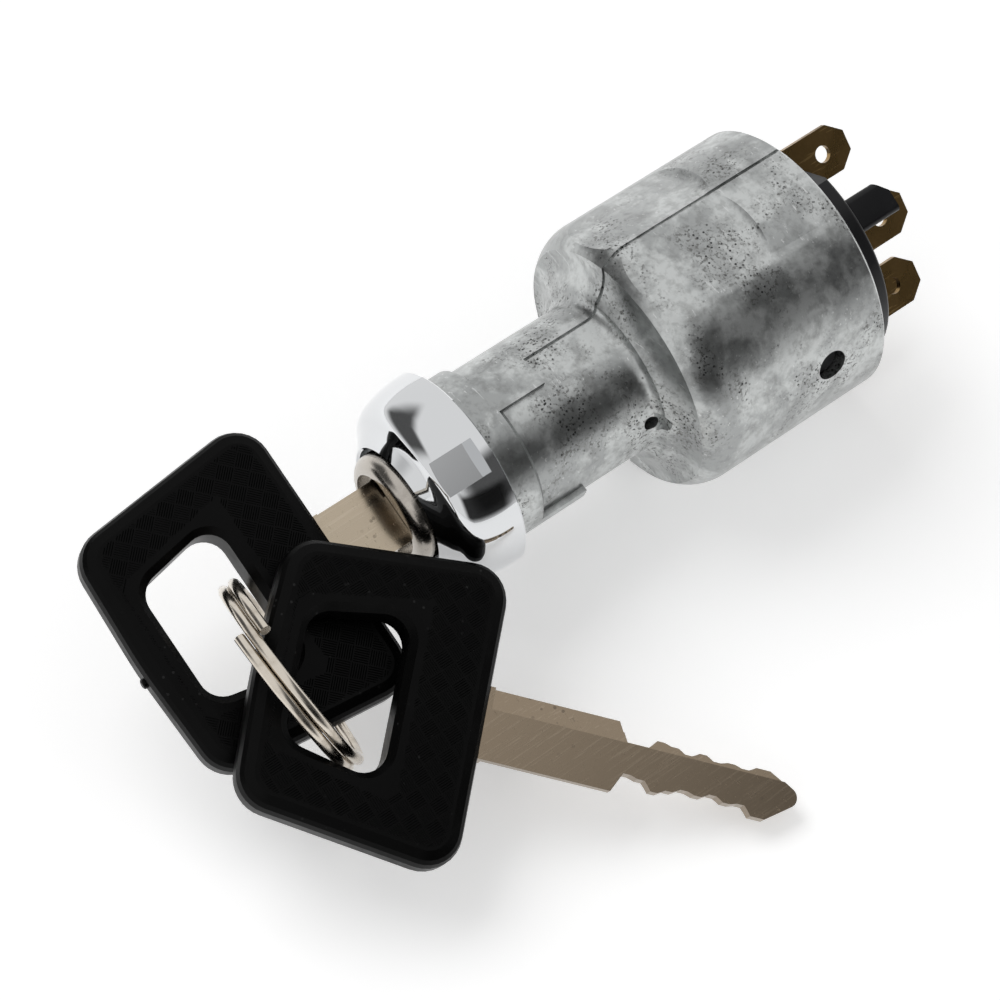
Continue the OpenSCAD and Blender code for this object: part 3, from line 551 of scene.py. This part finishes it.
def hatchFace():
    plan = headPlan
    verts, faces = [], []
    cell, steps = plan["cell"], plan["ridgeSteps"]
    turn = math.radians(plan["weaveTurn"])
    ex = Vector((math.cos(turn), math.sin(turn)))
    ey = Vector((-math.sin(turn), math.cos(turn)))
    reach = int(plan["wide"] / cell) + 2
    middle = Vector((-plan["length"] / 2, 0))
    for i in range(-reach, reach):
        for j in range(-reach, reach):
            centre = middle + ex * (i + 0.5) * cell + ey * (j + 0.5) * cell
            along, across = (ex, ey) if (i + j) % 2 else (ey, ex)
            for k in range(plan["ridges"]):
                offset = across * ((k + 0.5) / plan["ridges"] - 0.5) * cell
                run = along * cell * plan["cellFill"]
                line = [centre + offset + run * (s / steps - 0.5) for s in range(steps + 1)]
                kept = [p for p in line if insideFace(p.x, p.y)]
                if len(kept) > 2:
                    addRidge(verts, faces, kept[0], kept[-1], plan["thick"] / 2)
    return verts, faces


hatchVerts, hatchFaces = hatchFace()
for headName, place in headPlaces.items():
    onto = headMatrix(place)
    for sideName, flip in (("front", 0), ("back", 180)):
        turnOver = Matrix.Rotation(math.radians(flip), 4, "X")
        verts = [onto @ turnOver @ v for v in hatchVerts]
        hatchName = f"{headName}_hatch_{sideName}"
        addMesh(hatchName, verts, hatchFaces, finishes["black_head"], "keys")
print("hatch made:", len(hatchFaces), "faces a side")


# gate left by the mould on the far edge of the first head, as rings of reach and width
gateMark = {
    "radius": 0.7, "reach": 0.45, "root": 0.4, "edge": 0.65, "across": -1.5, "sides": 14,
    "rings": ((0.7, 0.9), (1.0, 0.62)), "uneven": (0.93, 1.05),
}


def addGate():
    plan = gateMark
    n = plan["sides"]
    onto = headMatrix(headPlaces["key"])
    edge = -headPlan["length"] - plan["edge"]
    rings = [(edge + plan["root"], 1.0)]
    rings += [(edge - plan["reach"] * share, grow) for share, grow in plan["rings"]]
    verts, faces = [], []
    for x, grow in rings:
        for k in range(n):
            a = 2 * math.pi * k / n
            r = plan["radius"] * grow * random.uniform(*plan["uneven"])
            point = Vector((x, plan["across"] + r * math.cos(a), r * math.sin(a)))
            verts.append(onto @ (point * mm))
    for row in range(len(rings) - 1):
        for k in range(n):
            near, far = row * n, (row + 1) * n
            after = (k + 1) % n
            faces.append([near + k, near + after, far + after, far + k])
    faces.append([len(verts) - n + k for k in range(n)])
    faces.append([n - 1 - k for k in range(n)])
    addMesh("key_mould_gate", verts, faces, finishes["black_head"], "keys")


addGate()
print("mould gate made")


# camera at the photograph's angle
cameraPlan = {
    "azimuth": 52.6, "elevation": 56.5, "distance": 0.387, "sensor": 36, "nearest": 0.01,
    "focalPixels": 3195, "imagePixels": 1000, "originPixel": (459, 468),
}


def addCamera():
    plan = cameraPlan
    a, e = math.radians(plan["azimuth"]), math.radians(plan["elevation"])
    back = Vector((math.sin(a) * math.cos(e), -math.cos(a) * math.cos(e), math.sin(e)))
    data = bpy.data.cameras.new("camera")
    data.sensor_width = plan["sensor"]
    data.lens = data.sensor_width * plan["focalPixels"] / plan["imagePixels"]
    middle = plan["imagePixels"] / 2
    data.shift_x = (middle - plan["originPixel"][0]) / plan["imagePixels"]
    data.shift_y = (plan["originPixel"][1] - middle) / plan["imagePixels"]
    data.clip_start = plan["nearest"]
    camera = bpy.data.objects.new("camera", data)
    camera.location = back * plan["distance"]
    camera.rotation_euler = (-back).to_track_quat("-Z", "Y").to_euler()
    scene.collection.objects.link(camera)
    scene.camera = camera


addCamera()
print("camera set")


# lamps and cards face the origin
def faceOrigin(thing, at):
    thing.location = at
    thing.rotation_euler = (-Vector(at)).to_track_quat("-Z", "Y").to_euler()
    scene.collection.objects.link(thing)


# pale floor that reads white and keeps the shadow
floorPlan = {
    "height": -18.05, "half": 1.5, "color": (0.93, 0.93, 0.93), "rough": 0.9,
    "glow": 0.38, "glossGlow": 0.52,
}


def addFloor():
    plan = floorPlan
    h, z = plan["half"], plan["height"] * mm
    mesh = bpy.data.meshes.new("floor")
    mesh.from_pydata([(-h, -h, z), (h, -h, z), (h, h, z), (-h, h, z)], [], [(0, 1, 2, 3)])
    floor = bpy.data.objects.new("floor", mesh)
    scene.collection.objects.link(floor)
    material = bpy.data.materials.new("paleFloor")
    material.use_nodes = True
    tree = material.node_tree
    shader = tree.nodes["Principled BSDF"]
    shader.inputs["Base Color"].default_value = (*plan["color"], 1)
    shader.inputs["Roughness"].default_value = plan["rough"]
    shader.inputs["Specular IOR Level"].default_value = 0.0
    path = tree.nodes.new("ShaderNodeLightPath")
    seen = mathNode(tree, "MAXIMUM", path.outputs["Is Camera Ray"], path.outputs["Is Transmission Ray"])
    seen = mathNode(tree, "MULTIPLY", seen, plan["glow"])
    mirrored = mathNode(tree, "MULTIPLY", path.outputs["Is Glossy Ray"], plan["glossGlow"])
    shader.inputs["Emission Color"].default_value = (1, 1, 1, 1)
    tree.links.new(mathNode(tree, "ADD", seen, mirrored), shader.inputs["Emission Strength"])
    mesh.materials.append(material)


addFloor()


# soft studio light: a broad box over the left, a strip on the right, a fill in front, a white surround
worldPlan = {"strength": (0.35, 1.0)}
lampPlan = [
    {"name": "overLeft", "at": (-0.55, -0.15, 0.75), "size": 0.7, "power": 4.0},
    {"name": "rightStrip", "at": (0.65, 0.35, 0.35), "size": 0.35, "power": 0.9},
    {"name": "front", "at": (0.25, -0.8, 0.45), "size": 0.5, "power": 0.8},
]


# the surround is full white where it is seen or mirrored, and dimmer as a light
def addLights():
    world = bpy.data.worlds.new("studio")
    scene.world = world
    world.use_nodes = True
    tree = world.node_tree
    background = tree.nodes["Background"]
    background.inputs["Color"].default_value = (1, 1, 1, 1)
    path = tree.nodes.new("ShaderNodeLightPath")
    seen = mathNode(tree, "MAXIMUM", path.outputs["Is Camera Ray"], path.outputs["Is Glossy Ray"])
    seen = mathNode(tree, "MAXIMUM", seen, path.outputs["Is Transmission Ray"])
    tree.links.new(level(tree, seen, worldPlan["strength"]), background.inputs["Strength"])
    for plan in lampPlan:
        data = bpy.data.lights.new(plan["name"], "AREA")
        data.shape = "SQUARE"
        data.size = plan["size"]
        data.energy = plan["power"]
        lamp = bpy.data.objects.new(plan["name"], data)
        lamp.visible_glossy = False
        faceOrigin(lamp, plan["at"])


addLights()


# dark cards with faded edges that only the metal sees
cardPlan = {
    "color": (0.012, 0.012, 0.012), "fade": 0.5,
    "cards": [
        {"name": "cardRight", "at": (0.62, 0.25, 0.43), "width": 1.5, "height": 1.0, "cover": 0.90},
        {"name": "cardFront", "at": (0.72, -0.12, 0.20), "width": 1.1, "height": 0.56, "cover": 0.97},
        {"name": "cardLeft", "at": (-0.55, -0.45, 0.36), "width": 1.3, "height": 0.80, "cover": 0.90},
    ],
}


def cardMaterial(plan):
    material = bpy.data.materials.new(plan["name"])
    material.use_nodes = True
    tree = material.node_tree
    shader = tree.nodes["Principled BSDF"]
    shader.inputs["Base Color"].default_value = (*cardPlan["color"], 1)
    shader.inputs["Specular IOR Level"].default_value = 0.0
    where = tree.nodes.new("ShaderNodeTexCoord")
    parts = tree.nodes.new("ShaderNodeSeparateXYZ")
    tree.links.new(where.outputs["UV"], parts.inputs["Vector"])
    cover = plan["cover"]
    for axis in ("X", "Y"):
        off = mathNode(tree, "ABSOLUTE", mathNode(tree, "SUBTRACT", parts.outputs[axis], 0.5), 0.0)
        inner = ramp(tree, mathNode(tree, "SUBTRACT", 0.5, off), 0.0, cardPlan["fade"] / 2)
        cover = mathNode(tree, "MULTIPLY", cover, inner)
    clear = tree.nodes.new("ShaderNodeBsdfTransparent")
    mix = tree.nodes.new("ShaderNodeMixShader")
    tree.links.new(cover, mix.inputs["Fac"])
    tree.links.new(clear.outputs["BSDF"], mix.inputs[1])
    tree.links.new(shader.outputs["BSDF"], mix.inputs[2])
    tree.links.new(mix.outputs["Shader"], tree.nodes["Material Output"].inputs["Surface"])
    return material


def addCards():
    for plan in cardPlan["cards"]:
        w, h = plan["width"] / 2, plan["height"] / 2
        mesh = bpy.data.meshes.new(plan["name"])
        mesh.from_pydata([(-w, -h, 0), (w, -h, 0), (w, h, 0), (-w, h, 0)], [], [(0, 1, 2, 3)])
        layer = mesh.uv_layers.new(name="fade")
        for corner, uv in zip(layer.data, ((0, 0), (1, 0), (1, 1), (0, 1))):
            corner.uv = uv
        mesh.materials.append(cardMaterial(plan))
        card = bpy.data.objects.new(plan["name"], mesh)
        card.visible_camera = False
        card.visible_diffuse = False
        card.visible_shadow = False
        faceOrigin(card, plan["at"])


addCards()
scene.view_settings.view_transform = "Standard"
print("light and floor set")
